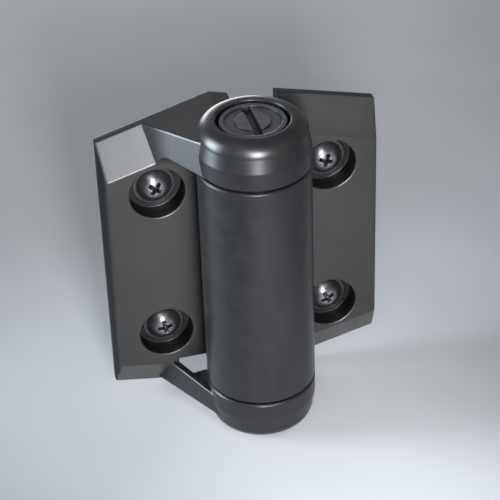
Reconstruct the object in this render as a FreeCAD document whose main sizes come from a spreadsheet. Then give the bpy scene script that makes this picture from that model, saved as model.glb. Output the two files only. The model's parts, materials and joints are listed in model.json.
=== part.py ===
import FreeCAD, Part
import math
import os
import re

import Sketcher

# Self-closing gate hinge, in millimetres.
# Every body is drawn about the hinge axis: X to the right, Y back to the mounting plane, Z up,
# with Z = 0 at the middle of the barrel. One shared placement then puts the origin at the middle
# of the post leaf's two screws, on the back of that leaf.

SIZES = [
    ("leaf_width", 22.85, "side of the barrel to the outer edge of a leaf, at its back"),
    ("leaf_edge_draft", 1.2, "lean of a leaf's outer edge over its thickness"),
    ("plate_setback", 4.75, "back of the barrel to the mounting plane"),
    ("plate_thickness", 8.0, "thickness of a leaf's plate"),
    ("land_depth", 2.0, "depth of a plate's square rim, behind its bevels"),
    ("bevel_drop", 9.6, "height of the bevels on a plate's top and bottom"),
    ("plate_round", 0.6, "round on a plate's front edges"),
    ("bore_round", 0.4, "round on the mouths of the counterbores"),
    ("plate_drop", 1.0, "middle of the screws below the middle of the barrel"),
    ("post_overhang", 4.1, "post leaf's outer edge past the barrel's ends, before its drop"),
    ("post_edge_angle", 13.5, "slope of the post leaf's top and bottom edges"),
    ("post_inset", 4.25, "side of the barrel in to the post plate's inner edge"),
    ("web_inner", 1.0, "hinge axis to the inner edge of the web behind the barrel"),
    ("web_lap", 2.9, "how far the web runs into the post plate"),
    ("gate_overhang", 3.9, "gate leaf's top outer corner past the barrel's end, before its drop"),
    ("gate_top_angle", 15.8, "slope of the gate leaf's top edge"),
    ("gate_underhang", 7.5, "gate leaf's bottom outer corner past the barrel's end, before its drop"),
    ("gate_bottom_angle", 9.0, "slope of the gate leaf's bottom edge"),
    ("gate_inset", 2.9, "side of the barrel in to the gate plate's inner edge"),
    ("screw_out", 8.5, "side of the barrel to a leaf's line of screws"),
    ("screw_inset", 10.8, "a barrel's end in to the level of a screw, before its drop"),
    ("counterbore_radius", 7.4, "radius of the counterbores round the screw heads"),
    ("seat_thickness", 2.5, "plate left under a screw head"),
    ("screw_hole_radius", 3.0, "radius of the holes for the screws"),
    ("barrel_radius", 14.75, "outside radius of the barrel and the knuckles"),
    ("barrel_height", 66.6, "height of the barrel between its seams"),
    ("seam_gap", 0.65, "gap between the barrel and a knuckle"),
    ("edge_break", 0.4, "chamfer on the barrel's and knuckles' edges at the seams"),
    ("bore_radius", 10.55, "bore of the barrel"),
    ("knuckle_height", 12.75, "height of a knuckle, seam to end"),
    ("skirt_height", 5.05, "straight part of a knuckle, next to its seam"),
    ("crown_lean", 0.65, "lean of a knuckle's crown above its skirt"),
    ("crown_round", 3.9, "round at the end of a knuckle's crown"),
    ("arm_angle", 61.0, "angle of the arms' outer walls from the plate"),
    ("arm_inset", 0.5, "side of a knuckle in to the foot of an arm's outer wall"),
    ("arm_draft", 1.6, "lean of the upper arm's outer wall over its height"),
    ("arm_round", 0.6, "round on the upper edges of the arms' outer walls"),
    ("arm_apex", 6.9, "hinge axis to the highest line of the upper arm"),
    ("arm_back", 1.9, "hinge axis to the inner end of the upper arm"),
    ("arm_fall_angle", 14.5, "fall of the upper arm from its highest line to its inner end"),
    ("gusset_round", 4.4, "hollow round between the upper arm's underside and the plate"),
    ("gusset_gap", 0.75, "side of the barrel to the inner end of that round"),
    ("arm_height", 8.2, "height of the lower arm"),
    ("arm_neck", 2.5, "side of a knuckle in to the lower arm's inner wall"),
    ("lower_arm_angle", 14.0, "fall of the lower arm's top towards its knuckle"),
    ("window_reach", 5.0, "depth of the lower arm's window in front of the plate"),
    ("running_fit", 0.06, "radial clearance of a journal in its bearing"),
    ("seat_fit", 0.03, "radial clearance of a piece pressed in its seat"),
    ("face_gap", 0.05, "end clearance between faces that turn on each other"),
    ("bush_flange_radius", 13.2, "radius of the bush flanges in the seams"),
    ("upper_bush_length", 10.0, "length of the upper bush in the barrel"),
    ("lower_bush_length", 8.0, "length of the lower bush in the barrel"),
    ("sleeve_radius", 8.2, "outside radius of the upper pivot sleeve"),
    ("sleeve_reach", 10.3, "length of the sleeve inside the barrel"),
    ("sleeve_flange", 1.2, "thickness of the sleeve's flange"),
    ("sleeve_wall", 0.8, "wall of the sleeve round the arbor's journal"),
    ("recess_radius", 9.4, "radius of the recess round the tension dial"),
    ("recess_play", 0.1, "radial clearance of the sleeve's flange in the recess"),
    ("dial_play", 0.3, "radial clearance of the tension dial in its recess"),
    ("dial_thickness", 2.6, "thickness of the dial's head"),
    ("dial_inset", 0.7, "dial's face below the top of the knuckle"),
    ("dial_bevel", 0.6, "bevel round the dial's face"),
    ("dial_slot_width", 2.3, "width of the screwdriver slot"),
    ("dial_slot_border", 1.6, "edge of the dial in to the end of the screwdriver slot"),
    ("dial_slot_depth", 1.8, "depth of the screwdriver slot"),
    ("dial_rim", 1.7, "edge of the dial in to the sunk ring in its face"),
    ("dial_ring_width", 2.8, "width of the sunk ring in the dial's face"),
    ("dial_ring_depth", 0.5, "depth of the sunk ring in the dial's face"),
    ("press_travel", 3.0, "how far the dial is pushed down to free its lugs"),
    ("press_clearance", 0.4, "room left under the dial's head when it is pushed down"),
    ("release_clearance", 0.7, "room between the freed lugs and the notches"),
    ("clip_thickness", 0.8, "thickness of the dial's retaining clip"),
    ("clip_bite", 0.5, "depth of the clip's groove in the knuckle"),
    ("clip_gap", 3.0, "width of the opening in the clip"),
    ("stem_play", 0.7, "radial clearance of the dial's stem between the notches"),
    ("stem_square", 6.6, "width of the dial's square stem"),
    ("stem_reach", 6.7, "length of the square stem inside the arbor"),
    ("square_play", 0.1, "clearance on each side of the square stem"),
    ("notch_step", 0.1, "step from the sleeve's bore in to the ends of its notches"),
    ("notch_depth", 1.3, "radial depth of the notches"),
    ("notch_width", 1.15, "width of the notches"),
    ("notch_count", 24, "number of notches"),
    ("lug_count", 4, "number of lugs on the dial's stem"),
    ("lug_height", 1.8, "height of the lugs"),
    ("lug_play", 0.15, "clearance round a lug in its notch"),
    ("arbor_clearance", 1.0, "room between the freed lugs and the arbor"),
    ("washer_thickness", 1.0, "thickness of the thrust washer on the arbor's flange"),
    ("arbor_play", 0.55, "radial clearance of the arbor's flange in the barrel"),
    ("arbor_flange", 4.3, "thickness of the arbor's flange"),
    ("mandrel_play", 0.7, "radial clearance of the arbor inside the spring"),
    ("mandrel_gap", 4.0, "gap between the end of the arbor and the anchor"),
    ("spring_play", 1.45, "radial clearance of the torsion spring in the barrel"),
    ("spring_wire", 2.8, "width of the torsion spring's square wire"),
    ("spring_pitch", 3.6, "least pitch of the torsion spring's turns"),
    ("coil_gap", 0.3, "gap at each end of the torsion spring's coil"),
    ("tang_depth", 3.0, "depth of the spring's ends in the arbor and the anchor"),
    ("tang_play", 0.2, "clearance round the spring's ends"),
    ("anchor_height", 8.3, "height of the spring anchor"),
    ("key_width", 3.0, "width of the anchor's keys"),
    ("key_reach", 1.2, "height of the anchor's keys"),
    ("key_play", 0.1, "clearance round the anchor's keys"),
    ("return_radius", 2.5, "mean radius of the dial's return spring"),
    ("return_wire", 0.8, "width of the return spring's square wire"),
    ("return_pitch", 2.4, "least pitch of the return spring's turns"),
    ("return_depth", 15.0, "depth of the return spring's bore"),
    ("return_play", 0.3, "radial clearance of the return spring in its bore"),
    ("pin_radius", 5.0, "radius of the lower pivot pin"),
    ("pin_reach", 12.0, "length of the pin inside the barrel"),
    ("pin_head_radius", 8.0, "radius of the pin's head"),
    ("pin_head", 2.4, "thickness of the pin's head"),
    ("pin_play", 0.4, "radial clearance of the pin's end in the anchor"),
    ("cap_thickness", 2.2, "thickness of the lower knuckle's cap"),
    ("head_radius", 4.6, "radius of a screw's domed head"),
    ("head_height", 2.6, "height of a screw's domed head above its flange"),
    ("head_edge", 0.5, "straight edge of a screw's domed head"),
    ("dome_radius", 6.4, "radius of the dome on a screw's head"),
    ("flange_radius", 5.8, "radius of a screw's flange"),
    ("flange_height", 1.0, "thickness of a screw's flange"),
    ("neck_radius", 2.1, "radius of a screw's plain neck"),
    ("thread_radius", 2.75, "radius of a screw over its thread"),
    ("thread_length", 16.0, "length of a screw's thread"),
    ("tip_radius", 1.6, "radius of a screw's drill point"),
    ("tip_length", 5.0, "length of a screw's drill point"),
    ("drive_length", 4.4, "length of the cross recess in a screw's head"),
    ("drive_width", 1.2, "width of the cross recess"),
    ("drive_depth", 1.9, "depth of the cross recess"),
]

# Heights and places that several pieces share, worked out from the sizes
RULES = {
    "plate_back": "barrel_radius + plate_setback",
    "leaf_reach": "barrel_radius + leaf_width",
    "screw_across": "barrel_radius + screw_out",
    "screw_rise": "barrel_height / 2 - screw_inset",
    "post_inner": "barrel_radius - post_inset",
    "web_outer": "post_inner + web_lap",
    "gate_inner": "barrel_radius - gate_inset",
    "post_edge": "barrel_height / 2 + post_overhang",
    "gate_top": "barrel_height / 2 + gate_overhang",
    "gate_bottom": "barrel_height / 2 + gate_underhang",
    "plate_front": "plate_back - plate_thickness",
    "land_front": "plate_back - land_depth",
    "barrel_end": "barrel_height / 2",
    "knuckle_foot": "barrel_height / 2 + seam_gap",
    "skirt_top": "knuckle_foot + skirt_height",
    "knuckle_top": "knuckle_foot + knuckle_height",
    "gusset_foot": "knuckle_foot - gusset_round",
    "gusset_inset": "arm_inset - arm_draft * gusset_round / knuckle_height",
    "dial_top": "knuckle_top - dial_inset",
    "head_foot": "dial_top - dial_thickness",
    "clip_top": "head_foot - press_travel - press_clearance",
    "flange_top": "clip_top - clip_thickness",
    "recess_floor": "flange_top - sleeve_flange",
    "lug_top": "flange_top - lug_play",
    "lug_foot": "lug_top - lug_height",
    "notch_foot": "lug_top - press_travel + release_clearance",
    "arbor_top": "lug_foot - press_travel - arbor_clearance",
    "stem_foot": "arbor_top - stem_reach",
    "socket_floor": "stem_foot - press_travel - press_clearance",
    "return_foot": "socket_floor - return_depth",
    "sleeve_foot": "barrel_end - sleeve_reach",
    "washer_top": "sleeve_foot - face_gap",
    "arbor_flange_top": "washer_top - washer_thickness",
    "arbor_flange_foot": "arbor_flange_top - arbor_flange",
    "anchor_foot": "lower_bush_length - barrel_end",
    "anchor_top": "anchor_foot + anchor_height",
    "coil_top": "arbor_flange_foot - coil_gap",
    "coil_foot": "anchor_top + coil_gap",
    "pin_top": "pin_reach - barrel_end",
    "cap_top": "cap_thickness - knuckle_top",
    "pin_seat": "cap_top + pin_head",
    "seat_radius": "bore_radius - seat_fit",
    "tang_hole": "coil_gap + tang_depth + tang_play",
    "sleeve_bore": "sleeve_radius - sleeve_wall",
    "journal_radius": "sleeve_bore - running_fit",
    "notch_bore": "sleeve_bore - notch_step - notch_depth",
    "stem_radius": "notch_bore - stem_play",
    "dial_radius": "recess_radius - dial_play",
    "dial_ring_outer": "dial_radius - dial_rim",
    "dial_ring_inner": "dial_ring_outer - dial_ring_width",
    "arbor_flange_radius": "bore_radius - arbor_play",
    "spring_radius": "bore_radius - spring_play - spring_wire / 2",
    "mandrel_radius": "spring_radius - spring_wire / 2 - mandrel_play",
}

FULL_TURN = 360
NEAR = 0.03  # a point nearer to a wall than this lies on it

doc = FreeCAD.newDocument("gate_hinge")
sheet = doc.addObject("Spreadsheet::Sheet", "Sizes")
for row, (alias, value, note) in enumerate(SIZES, start=1):
    sheet.set(f"A{row}", note)
    sheet.set(f"B{row}", str(value))
    sheet.setAlias(f"B{row}", alias)
doc.recompute()

ALIASES = {alias for alias, value, note in SIZES}


def bound(text):
    """An expression in which every rule is written out and every size is read from the sheet."""
    def written_out(match):
        word = match.group(0)
        if word in RULES:
            return f"({bound(RULES[word])})"
        return f"Sizes.{word}" if word in ALIASES else word
    return re.sub(r"[a-z][a-z_]*", written_out, str(text))


def number(text):
    """The present value of an expression."""
    return float(sheet.evalExpression(bound(text)))


def new_body(label):
    """A body about the hinge axis, carried by the shared placement to the row's origin."""
    body = doc.addObject("PartDesign::Body", label)
    body.Label = label
    body.setExpression("Placement.Base.x", bound("-screw_across"))
    body.setExpression("Placement.Base.y", bound("-plate_back"))
    body.setExpression("Placement.Base.z", bound("plate_drop"))
    return body


def origin_feature(body, role):
    """One of a body's own origin planes or axes."""
    return next(item for item in body.Origin.OriginFeatures if item.Role == role)


def new_sketch(body, name, role, lift="0"):
    """An empty sketch on one of a body's origin planes, lifted along that plane's normal."""
    sketch = body.newObject("Sketcher::SketchObject", name)
    sketch.AttachmentSupport = [(origin_feature(body, role), "")]
    sketch.MapMode = "FlatFace"
    sketch.setExpression("AttachmentOffset.Base.z", bound(lift))
    return sketch


def arc_between(start, end, radius):
    """The shorter arc between two points, to the right of the way from start to end."""
    chord = end - start
    middle = (start + end) * 0.5
    side = FreeCAD.Vector(-chord.y, chord.x, 0).normalize()
    height = math.sqrt(radius ** 2 - (chord.Length / 2) ** 2)
    centre = middle + side * height
    circle = Part.Circle(centre, FreeCAD.Vector(0, 0, 1), radius)
    return Part.ArcOfCircle(circle, circle.parameter(start), circle.parameter(end))


def draw_outline(sketch, points):
    """A closed outline of (x, y) expressions; a third item makes an arc to the next point."""
    spots = [FreeCAD.Vector(number(p[0]), number(p[1]), 0) for p in points]
    edges = []
    for index, point in enumerate(points):
        start, end = spots[index], spots[(index + 1) % len(points)]
        if len(point) == 3:
            edges.append(sketch.addGeometry(arc_between(start, end, number(point[2]))))
        else:
            edges.append(sketch.addGeometry(Part.LineSegment(start, end)))
    for index, point in enumerate(points):
        sketch.addConstraint(Sketcher.Constraint("Coincident", edges[index - 1], 2, edges[index], 1))
        place(sketch, edges[index], 1, point[0], point[1])
        if len(point) == 3:
            radius = sketch.addConstraint(Sketcher.Constraint("Radius", edges[index], number(point[2])))
            sketch.setExpression(f"Constraints[{radius}]", bound(point[2]))


def place(sketch, edge, end, across, up):
    """Bind one point of a sketch to its two distances from the origin."""
    for kind, text, axis in (("DistanceX", across, -2), ("DistanceY", up, -1)):
        if str(text) == "0":
            sketch.addConstraint(Sketcher.Constraint("PointOnObject", edge, end, axis))
            continue
        rule = Sketcher.Constraint(kind, -1, 1, edge, end, number(text))
        index = sketch.addConstraint(rule)
        sketch.setExpression(f"Constraints[{index}]", bound(text))


def draw_circle(sketch, across, up, radius):
    """A circle bound to its centre and radius."""
    centre = FreeCAD.Vector(number(across), number(up), 0)
    circle = Part.Circle(centre, FreeCAD.Vector(0, 0, 1), number(radius))
    edge = sketch.addGeometry(circle)
    place(sketch, edge, 3, across, up)
    index = sketch.addConstraint(Sketcher.Constraint("Radius", edge, number(radius)))
    sketch.setExpression(f"Constraints[{index}]", bound(radius))


def rectangle(left, right, low, high):
    """The four corners of an upright rectangle."""
    return [(left, low), (right, low), (right, high), (left, high)]


def settle(body, feature, grows, base=None):
    """Recompute and make sure that a feature really added or removed material."""
    base = base or feature.BaseFeature
    before = base.Shape.Volume if base else 0.0
    body.Tip = feature
    doc.recompute()
    after = feature.Shape.Volume
    if (after > before) != grows:
        raise RuntimeError(f"{feature.Name} in {body.Label} changed nothing")
    return feature


def revolve(body, name, points, grows=True):
    """Turn a (radius, height) outline about the hinge axis, as a solid or as a cut."""
    kind = "PartDesign::Revolution" if grows else "PartDesign::Groove"
    sketch = new_sketch(body, f"{name}_outline", "XZ_Plane")
    draw_outline(sketch, points)
    feature = body.newObject(kind, name)
    feature.Profile = sketch
    feature.ReferenceAxis = (sketch, ["V_Axis"])
    feature.Angle = FULL_TURN
    return settle(body, feature, grows)


def extrude(body, name, role, lift, shape, length, grows=True, reverse=False):
    """Pad or pocket an outline, or a list of (x, y, radius) circles given as a dictionary."""
    kind = "PartDesign::Pad" if grows else "PartDesign::Pocket"
    sketch = new_sketch(body, f"{name}_outline", role, lift)
    if isinstance(shape, dict):
        for across, up, radius in shape["circles"]:
            draw_circle(sketch, across, up, radius)
    else:
        draw_outline(sketch, shape)
    feature = body.newObject(kind, name)
    feature.Profile = sketch
    feature.Reversed = reverse
    feature.setExpression("Length", bound(length))
    return settle(body, feature, grows)


def loft(body, name, role, sections):
    """A straight-sided loft through (lift, outline) sections."""
    sketches = []
    for index, (lift, points) in enumerate(sections):
        sketch = new_sketch(body, f"{name}_section_{index}", role, lift)
        draw_outline(sketch, points)
        sketches.append(sketch)
    feature = body.newObject("PartDesign::AdditiveLoft", name)
    feature.Profile = sketches[0]
    feature.Sections = sketches[1:]
    feature.Ruled = True
    return settle(body, feature, True)


def round_edges(body, name, radius, wanted):
    """Round the edges of a body's present shape that a test picks out."""
    base = body.Tip
    picked = [f"Edge{i}" for i, edge in enumerate(base.Shape.Edges, start=1) if wanted(edge)]
    feature = body.newObject("PartDesign::Fillet", name)
    feature.Base = (base, picked)
    feature.setExpression("Radius", bound(radius))
    return settle(body, feature, False, base)


def repeat(body, feature, count, grows):
    """Repeat a feature round the hinge axis."""
    pattern = body.newObject("PartDesign::PolarPattern", f"{feature.Name}_round")
    pattern.Originals = [feature]
    pattern.Axis = (origin_feature(body, "Z_Axis"), [""])
    pattern.Angle = FULL_TURN
    pattern.setExpression("Occurrences", bound(count))
    return settle(body, pattern, grows, feature)


def coil(body, name, radius, wire, foot, top, pitch):
    """A square-wire coil of whole turns about the hinge axis, from the +X side round to it again."""
    sketch = new_sketch(body, f"{name}_section", "XZ_Plane")
    half = f"{wire} / 2"
    draw_outline(sketch, rectangle(f"{radius} - {half}", f"{radius} + {half}", foot, f"{foot} + {wire}"))
    feature = body.newObject("PartDesign::AdditiveHelix", name)
    feature.Profile = sketch
    feature.ReferenceAxis = (sketch, ["V_Axis"])
    feature.Mode = "height-turns-angle"
    height = f"({top} - {wire} - {foot})"
    feature.setExpression("Height", bound(height))
    feature.setExpression("Turns", bound(f"floor({height} / {pitch})"))
    return settle(body, feature, True)


def screw_places(side):
    """Centres of a leaf's two screws in its front view."""
    across = f"{side} * screw_across"
    return [(across, f"-plate_drop + {end} * screw_rise") for end in (1, -1)]


def drill_screw_holes(body, side):
    """Counterbores and through holes for a leaf's two screws."""
    bores = {"circles": [(x, z, "counterbore_radius") for x, z in screw_places(side)]}
    holes = {"circles": [(x, z, "screw_hole_radius") for x, z in screw_places(side)]}
    front = "-plate_front"
    extrude(body, "counterbores", "XZ_Plane", front, bores, "plate_thickness - seat_thickness", False)

    def mouth(edge):
        in_front = abs(edge.CenterOfMass.y - number("plate_front")) < number("bore_round / 4")
        return in_front and edge.isClosed()

    round_edges(body, "bore_rounds", "bore_round", mouth)
    extrude(body, "screw_holes", "XZ_Plane", front, holes, "plate_thickness", False)


def bevelled_plate(body, back, front, free_from):
    """A plate with a square rim at its back and bevels from there to its front face."""
    extrude(body, "plate_land", "XZ_Plane", "-plate_back", back, "land_depth")
    loft(body, "plate_bevels", "XZ_Plane", [("-land_front", back), ("-plate_front", front)])

    def shows(edge):
        spot = edge.CenterOfMass
        free = abs(spot.x) > number(free_from)
        return free and spot.y < number("plate_back - land_depth / 4")

    round_edges(body, "plate_rounds", "plate_round", shows)


def make_post_leaf():
    """The post leaf: a bevelled plate, a web and the long barrel, moulded in one piece."""
    body = new_body("post_leaf")
    rise = "tan(post_edge_angle)"
    inner = f"(post_edge + (leaf_reach - post_inner) * {rise})"
    outer_front = f"(post_edge + leaf_edge_draft * {rise} - bevel_drop)"
    back = [
        ("leaf_reach", "-plate_drop - post_edge"),
        ("leaf_reach", "-plate_drop + post_edge"),
        ("post_inner", f"-plate_drop + {inner}"),
        ("post_inner", f"-plate_drop - {inner}"),
    ]
    front = [
        ("leaf_reach - leaf_edge_draft", f"-plate_drop - {outer_front}"),
        ("leaf_reach - leaf_edge_draft", f"-plate_drop + {outer_front}"),
        ("post_inner", f"-plate_drop + {inner} - bevel_drop"),
        ("post_inner", f"-plate_drop - {inner} + bevel_drop"),
    ]
    bevelled_plate(body, back, front, "web_outer")
    web = [
        ("0", "0"),
        ("web_outer", "plate_front"),
        ("web_outer", "plate_back"),
        ("web_inner", "plate_back"),
    ]
    extrude(body, "web", "XY_Plane", "-barrel_end", web, "barrel_height")
    barrel = [
        ("0", "-barrel_end"),
        ("barrel_radius - edge_break", "-barrel_end"),
        ("barrel_radius", "-barrel_end + edge_break"),
        ("barrel_radius", "barrel_end - edge_break"),
        ("barrel_radius - edge_break", "barrel_end"),
        ("0", "barrel_end"),
    ]
    revolve(body, "barrel", barrel)
    bore = {"circles": [("0", "0", "bore_radius")]}
    extrude(body, "bore", "XY_Plane", "-barrel_end", bore, "barrel_height", False, True)
    keyway_half = "key_width / 2 + key_play"
    keyway_end = "bore_radius + key_reach + key_play"
    keyways = rectangle(f"-({keyway_end})", keyway_end, f"-({keyway_half})", keyway_half)
    depth = "lower_bush_length + anchor_height"
    extrude(body, "keyways", "XY_Plane", "-barrel_end", keyways, depth, False, True)
    drill_screw_holes(body, 1)
    return body


def arm_wall(y, inset):
    """X of the arms' outer wall at a depth: a line that touches the knuckle, moved in by an inset."""
    return f"(-(barrel_radius - ({inset}) + {y} * cos(arm_angle)) / sin(arm_angle))"


def arm_touch(inset):
    """The point where the arms' outer wall touches the knuckle."""
    reach = f"(barrel_radius - ({inset}))"
    return (f"-{reach} * sin(arm_angle)", f"-{reach} * cos(arm_angle)")


def round_arm(body, draft, above):
    """Round the upper edge of an arm's outer wall, which leans in by the draft over a knuckle's height."""
    angle = math.radians(number("arm_angle"))
    lean = number(draft) / number("knuckle_height")

    def on_wall(spot):
        inset = number("arm_inset") + lean * (spot.z - number("knuckle_foot"))
        reach = -spot.x * math.sin(angle) - spot.y * math.cos(angle)
        return abs(reach - number("barrel_radius") + inset) < NEAR

    def upper_edge(edge):
        ends = [vertex.Point for vertex in edge.Vertexes]
        on_top = all(spot.z > number(above) + NEAR and on_wall(spot) for spot in ends)
        return on_top and min(spot.y for spot in ends) < number("plate_front") - NEAR

    round_edges(body, "arm_rounds", "arm_round", upper_edge)


def upper_arm_outline(inset):
    """Plan of the upper arm, from the plate's back to inside the knuckle."""
    return [
        (arm_wall("plate_back", inset), "plate_back"),
        arm_touch(inset),
        ("0", "0"),
        ("-arm_back", "0"),
        ("-arm_back", "plate_back"),
    ]


def lower_arm_outline():
    """Plan of the lower arm: a strap that leaves a window in front of the plate."""
    window_depth = "(plate_front - window_reach)"
    root = arm_wall("plate_front", "arm_neck")
    return [
        (arm_wall("plate_back", "arm_inset"), "plate_back"),
        arm_touch("arm_inset"),
        ("0", "0"),
        ("-barrel_radius / 2", "barrel_radius * 3 / 4"),
        (arm_wall(window_depth, "arm_neck"), window_depth),
        (root, "plate_front"),
        (root, "plate_back"),
    ]


def knuckle_outline(sign):
    """Section of a knuckle: a straight skirt, a leaning crown and a round to its flat end."""
    round_foot = "(knuckle_top - crown_round)"
    crown = "barrel_radius - crown_lean"
    points = [
        ("0", "knuckle_foot"),
        ("barrel_radius - edge_break", "knuckle_foot"),
        ("barrel_radius", "knuckle_foot + edge_break"),
        ("barrel_radius", "skirt_top"),
        (crown, round_foot, "crown_round"),
        (f"{crown} - crown_round", "knuckle_top"),
        ("0", "knuckle_top"),
    ]
    if sign > 0:
        return points
    flipped = [(x[0], f"-({x[1]})") for x in reversed(points)]
    flipped[1] = (*flipped[1], "crown_round")
    return flipped


def gate_top_at(x):
    """Height of the gate leaf's top edge at a place across it."""
    return f"(gate_top - plate_drop + (leaf_reach + {x}) * tan(gate_top_angle))"


def gate_bottom_at(x):
    """Height of the gate leaf's bottom edge at a place across it."""
    return f"(-gate_bottom - plate_drop - (leaf_reach + {x}) * tan(gate_bottom_angle))"


def make_gate_plate():
    """The gate leaf's bevelled plate, cut away at its lower inner corner for the window."""
    body = new_body("gate_leaf_plate")
    root = arm_wall("plate_front", "arm_neck")
    fold = arm_wall("plate_front", "0")
    edge = "(leaf_edge_draft - leaf_reach)"
    back = [
        ("-leaf_reach", gate_bottom_at("-leaf_reach")),
        (root, gate_bottom_at(root)),
        (root, "-knuckle_foot"),
        ("-gate_inner", "-knuckle_foot"),
        ("-gate_inner", gate_top_at("-gate_inner")),
        (fold, gate_top_at(fold)),
        ("-leaf_reach", gate_top_at("-leaf_reach")),
    ]
    front = [
        (edge, f"{gate_bottom_at(edge)} + bevel_drop"),
        (root, f"{gate_bottom_at(root)} + bevel_drop"),
        (root, "-barrel_end"),
        ("-gate_inner", "-barrel_end"),
        ("-gate_inner", "knuckle_foot"),
        (fold, f"{gate_top_at(fold)} - bevel_drop"),
        (edge, f"{gate_top_at(edge)} - bevel_drop"),
    ]
    bevelled_plate(body, back, front, "screw_across + arm_neck")
    drill_screw_holes(body, -1)
    return body


def make_upper_arm():
    """The upper arm with its knuckle, bored for the sleeve, the clip and the dial."""
    body = new_body("gate_leaf_upper_arm")
    foot, top = upper_arm_outline("gusset_inset"), upper_arm_outline("arm_inset + arm_draft")
    loft(body, "arm", "XY_Plane", [("gusset_foot", foot), ("knuckle_top", top)])
    apex = gate_top_at("-arm_apex")
    above = [
        ("-leaf_reach", gate_top_at("-leaf_reach")),
        ("-arm_apex", apex),
        ("0", f"{apex} - arm_apex * tan(arm_fall_angle)"),
        ("0", "knuckle_top + crown_round"),
        ("-leaf_reach", "knuckle_top + crown_round"),
    ]
    extrude(body, "arm_slope", "XZ_Plane", "-plate_back", above, "plate_back * 2", False, True)
    beneath = [
        ("plate_front", "gusset_foot", "gusset_round"),
        ("plate_front - gusset_round", "knuckle_foot"),
        ("-barrel_radius", "knuckle_foot"),
        ("-barrel_radius", "gusset_foot"),
    ]
    extrude(body, "gusset", "YZ_Plane", "-leaf_reach", beneath, "leaf_reach", False, True)
    over_barrel = rectangle("-(barrel_radius + gusset_gap)", "barrel_radius", "-barrel_radius", "plate_back")
    extrude(body, "barrel_room", "XY_Plane", "knuckle_foot", over_barrel, "gusset_round", False)
    round_arm(body, "arm_draft", "knuckle_foot")
    revolve(body, "knuckle", knuckle_outline(1))
    dial_bore = [
        ("0", "knuckle_foot"),
        ("sleeve_radius + seat_fit", "knuckle_foot"),
        ("sleeve_radius + seat_fit", "recess_floor"),
        ("recess_radius", "recess_floor"),
        ("recess_radius", "flange_top"),
        ("recess_radius + clip_bite", "flange_top"),
        ("recess_radius + clip_bite", "clip_top + face_gap"),
        ("recess_radius", "clip_top + face_gap"),
        ("recess_radius", "knuckle_top - edge_break"),
        ("recess_radius + edge_break", "knuckle_top"),
        ("0", "knuckle_top"),
    ]
    revolve(body, "dial_bore", dial_bore, False)
    return body


def make_lower_arm():
    """The lower arm, a strap with its knuckle, bored for the pivot pin and the cap."""
    body = new_body("gate_leaf_lower_arm")
    lower_end = "-(knuckle_foot + arm_height)"
    extrude(body, "arm", "XY_Plane", lower_end, lower_arm_outline(), "arm_height")
    fold = arm_wall("plate_front", "arm_inset")
    above = [
        (fold, "-knuckle_foot"),
        ("0", f"-knuckle_foot + {fold} * tan(lower_arm_angle)"),
        ("0", "-barrel_end"),
        (fold, "-barrel_end"),
    ]
    extrude(body, "arm_slope", "XZ_Plane", "-plate_back", above, "plate_back * 2", False, True)
    round_arm(body, "0", "-knuckle_foot - arm_height * 3 / 4")
    revolve(body, "knuckle", knuckle_outline(-1))
    pin_bore = [
        ("0", "-knuckle_top"),
        ("pin_head_radius + seat_fit", "-knuckle_top"),
        ("pin_head_radius + seat_fit", "pin_seat"),
        ("pin_radius + seat_fit", "pin_seat"),
        ("pin_radius + seat_fit", "-knuckle_foot"),
        ("0", "-knuckle_foot"),
    ]
    revolve(body, "pin_bore", pin_bore, False)
    return body


def make_gate_leaf():
    """The gate leaf: plate, arms and end knuckles, joined because they are moulded in one piece."""
    leaf = doc.addObject("Part::MultiFuse", "gate_leaf")
    leaf.Label = "gate_leaf"
    leaf.Shapes = [make_gate_plate(), make_upper_arm(), make_lower_arm()]
    leaf.Refine = True
    return leaf


def make_bush(label, sign, bore, length):
    """A flanged bush at one end of the barrel; its flange fills the seam."""
    body = new_body(label)
    end = "barrel_end"
    flange = "(barrel_end + seam_gap - face_gap)"
    points = [
        (bore, f"{end} - {length}"),
        ("seat_radius", f"{end} - {length}"),
        ("seat_radius", end),
        ("bush_flange_radius", end),
        ("bush_flange_radius", flange),
        (bore, flange),
    ]
    if sign < 0:
        points = [(x, f"-({z})") for x, z in reversed(points)]
    revolve(body, "turned", points)
    return body


def make_upper_pivot_sleeve():
    """The sleeve that the upper knuckle turns on, with the dial's locking notches in its top."""
    body = new_body("upper_pivot_sleeve")
    journal = "sleeve_bore"
    points = [
        (journal, "sleeve_foot"),
        ("sleeve_radius", "sleeve_foot"),
        ("sleeve_radius", "recess_floor"),
        ("recess_radius - recess_play", "recess_floor"),
        ("recess_radius - recess_play", "flange_top"),
        ("notch_bore", "flange_top"),
        ("notch_bore", "notch_foot"),
        (journal, "notch_foot"),
    ]
    revolve(body, "turned", points)
    half = "notch_width / 2"
    notch = rectangle("notch_bore / 2", "notch_bore + notch_depth", f"-{half}", half)
    depth = "flange_top - notch_foot"
    first = extrude(body, "notch", "XY_Plane", "flange_top", notch, depth, False)
    repeat(body, first, "notch_count", False)
    return body


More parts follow.
